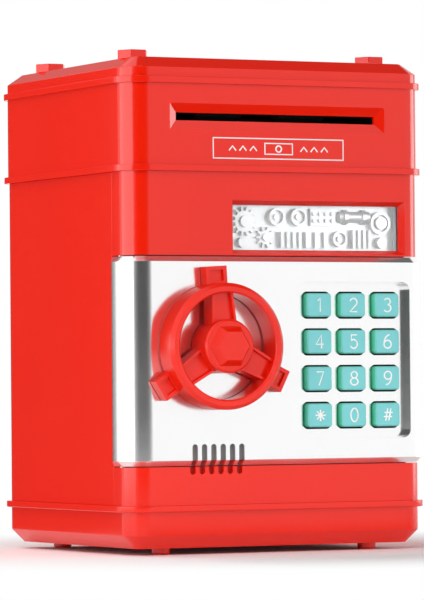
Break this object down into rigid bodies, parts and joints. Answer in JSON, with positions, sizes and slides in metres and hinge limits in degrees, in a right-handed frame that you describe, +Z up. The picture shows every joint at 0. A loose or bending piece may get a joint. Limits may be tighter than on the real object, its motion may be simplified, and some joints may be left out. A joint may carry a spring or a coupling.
{
  "type": "toy atm savings bank",
  "caption": "Toy cash machine savings bank: red box with a bill slot, window, coin slot and a silver door with handwheel lock and keypad.",
  "frame": {"origin": "on the surface it stands on, under the middle of its outline, wheel included", "axes": "+Z up, +X to the right seen from the front, +Y to the rear, so the door faces -Y"},
  "size_m": [0.132, 0.1386, 0.194],
  "materials": {
    "red_plastic": "glossy moulded plastic",
    "silver_plastic": "silver lacquer, satin gloss",
    "teal_plastic": "soft satin",
    "clear_plastic": "clear, polished",
    "relief_plastic": "silver-white, satin",
    "white_plastic": "natural acetal",
    "black_plastic": "fine texture",
    "steel": "plain steel",
    "coil_housing": "dark lacquer",
    "brass": "turned brass",
    "roller_rubber": "ground rubber",
    "silicone": "soft silicone",
    "circuit_board": "solder mask",
    "cell_wrap": "plain wrap"
  },
  "bodies": {
    "housing": {"base_tray": "red_plastic", "feet": "red_plastic", "battery_box": "black_plastic", "battery_contacts": "steel", "battery_cells": "cell_wrap", "battery_door": "red_plastic", "battery_screw": "steel", "base_screws": "steel", "rear_shell": "red_plastic", "front_frame": "red_plastic", "strike_plate": "steel", "window_pane": "clear_plastic", "window_relief": "relief_plastic", "head_shell": "red_plastic", "head_screws": "steel", "feed_deck": "black_plastic", "roller_brackets": "steel", "bill_guide": "black_plastic", "bill_sensor": "black_plastic", "coin_chute": "black_plastic", "main_board": "circuit_board", "feed_motor": "steel"},
    "door": {"door_shell": "silver_plastic", "door_liner": "black_plastic", "liner_screws": "steel", "hinge_pins": "steel", "wheel_bush": "brass", "bolt_guides": "white_plastic", "keypad_board": "circuit_board", "keypad_mat": "silicone", "speaker": "black_plastic", "lock_solenoid": "coil_housing"},
    "wheel": {"handwheel": "red_plastic", "wheel_shaft": "steel", "shaft_clip": "steel", "bolt_pinion": "brass"},
    "bolt": {"lock_bolt": "steel"},
    "plunger": {"lock_plunger": "steel"},
    "drive_roller": {"drive_shaft": "steel", "drive_sleeves": "roller_rubber", "drive_gear": "white_plastic"},
    "pinch_roller": {"pinch_shaft": "steel", "pinch_sleeves": "roller_rubber", "pinch_gear": "white_plastic"},
    "motor_rotor": {"motor_pinion": "brass"},
    "key_1": {"key_1": "teal_plastic"},
    "key_2": {"key_2": "teal_plastic"},
    "key_3": {"key_3": "teal_plastic"},
    "key_4": {"key_4": "teal_plastic"},
    "key_5": {"key_5": "teal_plastic"},
    "key_6": {"key_6": "teal_plastic"},
    "key_7": {"key_7": "teal_plastic"},
    "key_8": {"key_8": "teal_plastic"},
    "key_9": {"key_9": "teal_plastic"},
    "key_star": {"key_star": "teal_plastic"},
    "key_0": {"key_0": "teal_plastic"},
    "key_hash": {"key_hash": "teal_plastic"}
  },
  "joints": [
    {"name": "door_hinge", "type": "hinge", "parent": "housing", "child": "door", "pos_m": [-0.0622, -0.03935, 0.0741], "axis": [0, 0, -1], "range_deg": [0, 90]},
    {"name": "wheel_turn", "type": "hinge", "parent": "door", "child": "wheel", "pos_m": [-0.029, -0.05275, 0.0795], "axis": [0, -1, 0], "range_deg": [0, 90]},
    {"name": "bolt_slide", "type": "slide", "parent": "door", "child": "bolt", "axis": [1, 0, 0], "range_m": [0, 0.00943]},
    {"name": "plunger_lift", "type": "slide", "parent": "door", "child": "plunger", "axis": [0, 0, 1], "range_m": [0, 0.003]},
    {"name": "drive_roller_turn", "type": "hinge", "parent": "housing", "child": "drive_roller", "pos_m": [0, -0.03175, 0.16145], "axis": [1, 0, 0], "continuous": true},
    {"name": "pinch_roller_turn", "type": "hinge", "parent": "housing", "child": "pinch_roller", "pos_m": [0, -0.03175, 0.17375], "axis": [1, 0, 0], "continuous": true},
    {"name": "motor_turn", "type": "hinge", "parent": "housing", "child": "motor_rotor", "pos_m": [0, -0.02252, 0.15763], "axis": [1, 0, 0], "continuous": true},
    {"name": "key_1_press", "type": "slide", "parent": "door", "child": "key_1", "axis": [0, 1, 0], "range_m": [0, 0.0015], "stiffness_N_per_m": 300, "deforming": ["keypad_mat"]},
    {"name": "key_2_press", "type": "slide", "parent": "door", "child": "key_2", "axis": [0, 1, 0], "range_m": [0, 0.0015], "stiffness_N_per_m": 300, "deforming": ["keypad_mat"]},
    {"name": "key_3_press", "type": "slide", "parent": "door", "child": "key_3", "axis": [0, 1, 0], "range_m": [0, 0.0015], "stiffness_N_per_m": 300, "deforming": ["keypad_mat"]},
    {"name": "key_4_press", "type": "slide", "parent": "door", "child": "key_4", "axis": [0, 1, 0], "range_m": [0, 0.0015], "stiffness_N_per_m": 300, "deforming": ["keypad_mat"]},
    {"name": "key_5_press", "type": "slide", "parent": "door", "child": "key_5", "axis": [0, 1, 0], "range_m": [0, 0.0015], "stiffness_N_per_m": 300, "deforming": ["keypad_mat"]},
    {"name": "key_6_press", "type": "slide", "parent": "door", "child": "key_6", "axis": [0, 1, 0], "range_m": [0, 0.0015], "stiffness_N_per_m": 300, "deforming": ["keypad_mat"]},
    {"name": "key_7_press", "type": "slide", "parent": "door", "child": "key_7", "axis": [0, 1, 0], "range_m": [0, 0.0015], "stiffness_N_per_m": 300, "deforming": ["keypad_mat"]},
    {"name": "key_8_press", "type": "slide", "parent": "door", "child": "key_8", "axis": [0, 1, 0], "range_m": [0, 0.0015], "stiffness_N_per_m": 300, "deforming": ["keypad_mat"]},
    {"name": "key_9_press", "type": "slide", "parent": "door", "child": "key_9", "axis": [0, 1, 0], "range_m": [0, 0.0015], "stiffness_N_per_m": 300, "deforming": ["keypad_mat"]},
    {"name": "key_star_press", "type": "slide", "parent": "door", "child": "key_star", "axis": [0, 1, 0], "range_m": [0, 0.0015], "stiffness_N_per_m": 300, "deforming": ["keypad_mat"]},
    {"name": "key_0_press", "type": "slide", "parent": "door", "child": "key_0", "axis": [0, 1, 0], "range_m": [0, 0.0015], "stiffness_N_per_m": 300, "deforming": ["keypad_mat"]},
    {"name": "key_hash_press", "type": "slide", "parent": "door", "child": "key_hash", "axis": [0, 1, 0], "range_m": [0, 0.0015], "stiffness_N_per_m": 300, "deforming": ["keypad_mat"]}
  ],
  "couplings": [
    {"joint": "bolt_slide", "follows": "wheel_turn", "m_per_rad": 0.006},
    {"joint": "pinch_roller_turn", "follows": "drive_roller_turn", "ratio": -1},
    {"joint": "motor_turn", "follows": "drive_roller_turn", "ratio": -1.6}
  ]
}
